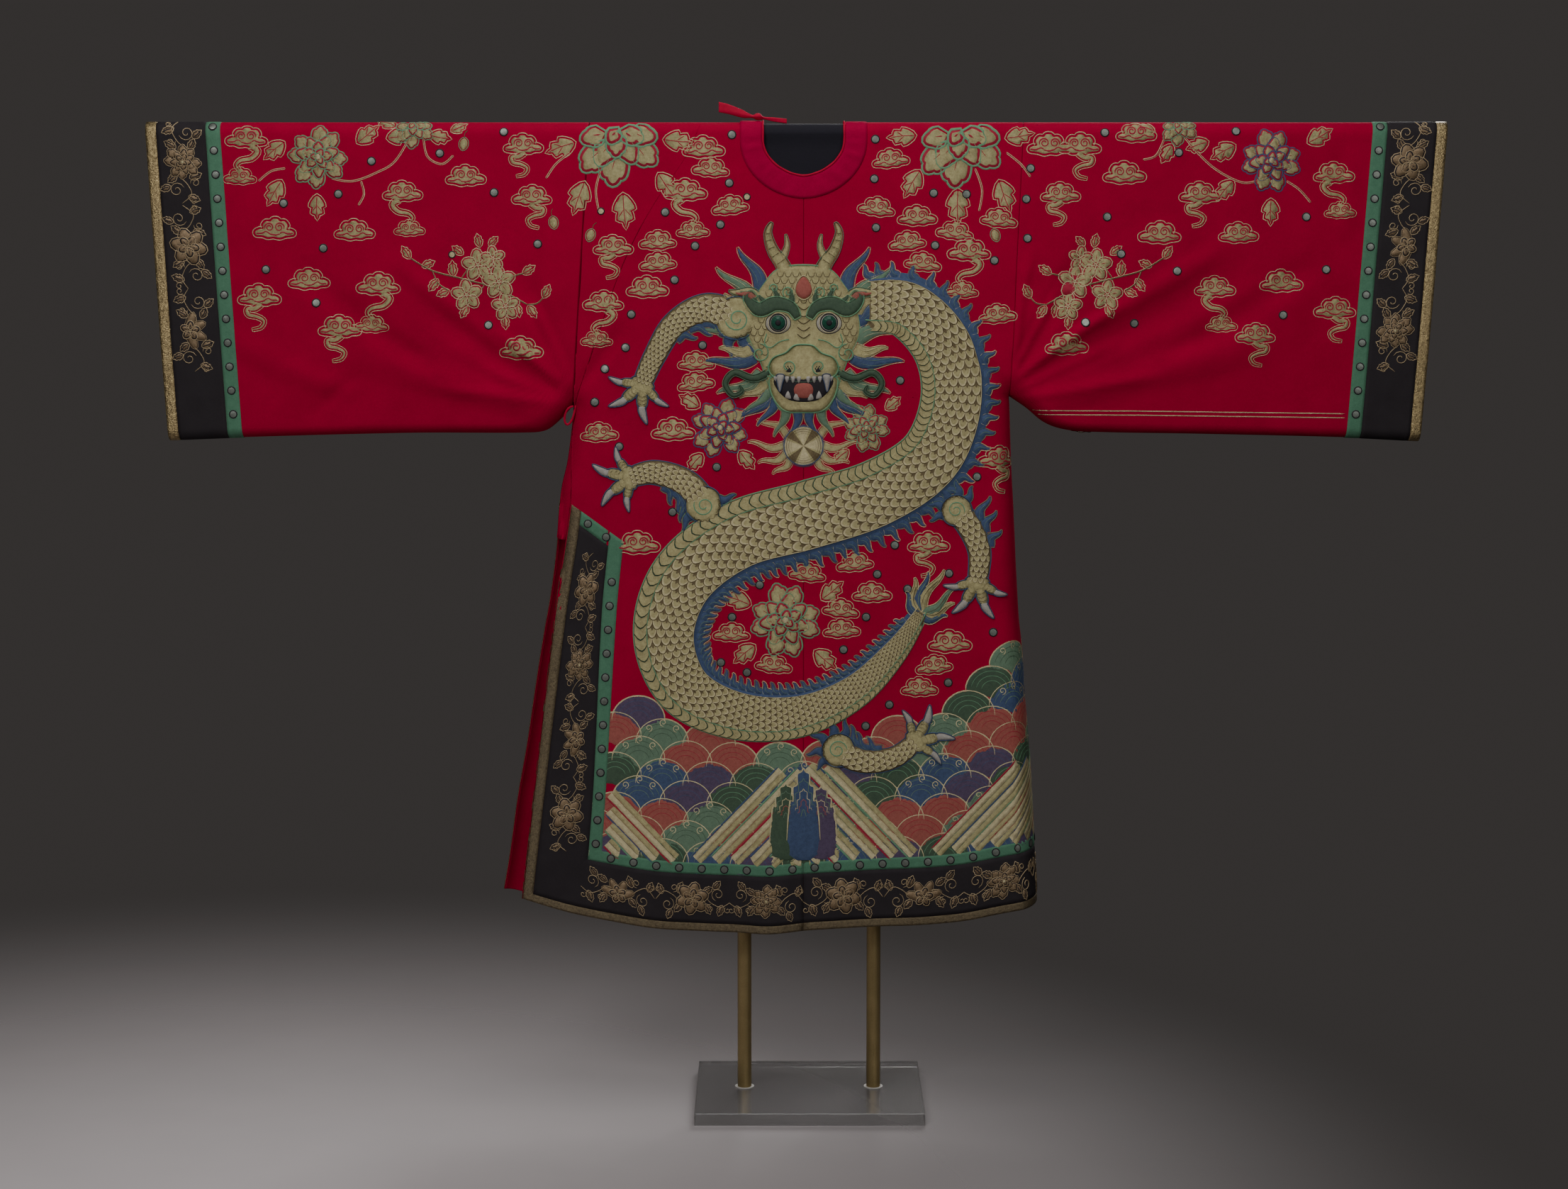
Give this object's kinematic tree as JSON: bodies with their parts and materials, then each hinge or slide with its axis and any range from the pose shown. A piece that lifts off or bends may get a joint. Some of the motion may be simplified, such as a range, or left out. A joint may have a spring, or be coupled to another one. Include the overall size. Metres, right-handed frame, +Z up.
{
  "type": "chinese dragon robe on display stand",
  "caption": "Full-length side-closing robe with wide tube sleeves, banded cuffs and hem and raised dragon applique, hung on a two-post display stand with a flat base.",
  "frame": {"origin": "centre of the bounding box at floor level, on the underside of the base", "axes": "+Z up, -Y the robe's front, +X towards the wearer's left"},
  "size_m": [2.1909, 0.297, 1.719],
  "materials": {
    "red_cotton": "matt plain weave with a slight sheen",
    "red_facing": "matt plain weave",
    "gold_braid": "woven metal-thread braid",
    "black_satin": "satin with couched gold scrolls",
    "green_cotton": "matt plain weave with small mirror discs",
    "couched_gold": "couched gold thread over padding",
    "eye_glass": "domed glass over paint",
    "brass": "satin tube",
    "navy_cloth": "matt stretch cover",
    "clear_acrylic": "polished clear plate",
    "white_nylon": "matt"
  },
  "bodies": {
    "root": {"body_left": "red_cotton", "body_right": "red_cotton", "flap": "red_cotton", "sleeve_left": "red_cotton", "sleeve_right": "red_cotton", "neck_piping": "red_cotton", "shoulder_tie": "red_cotton", "underarm_tie": "red_cotton", "neck_facing": "red_facing", "flap_border_gold": "gold_braid", "front_border_gold": "gold_braid", "back_right_border_gold": "gold_braid", "back_left_border_gold": "gold_braid", "cuff_gold_right": "gold_braid", "cuff_gold_left": "gold_braid", "flap_border_black": "black_satin", "front_border_black": "black_satin", "back_right_border_black": "black_satin", "back_left_border_black": "black_satin", "cuff_black_right": "black_satin", "cuff_black_left": "black_satin", "flap_border_green": "green_cotton", "front_border_green": "green_cotton", "back_right_border_green": "green_cotton", "back_left_border_green": "green_cotton", "cuff_green_right": "green_cotton", "cuff_green_left": "green_cotton", "dragon_body": "couched_gold", "dragon_head": "couched_gold", "dragon_leg_upper_right": "couched_gold", "dragon_leg_lower_right": "couched_gold", "dragon_leg_upper_left": "couched_gold", "dragon_leg_lower_left": "couched_gold", "pearl": "couched_gold", "dragon_eye_right": "eye_glass", "dragon_eye_left": "eye_glass", "stand_post_right": "brass", "stand_post_left": "brass", "stand_board": "navy_cloth", "stand_arm_right": "navy_cloth", "stand_arm_left": "navy_cloth", "stand_base": "clear_acrylic", "stand_washer_right": "white_nylon", "stand_washer_left": "white_nylon"}
  },
  "joints": []
}
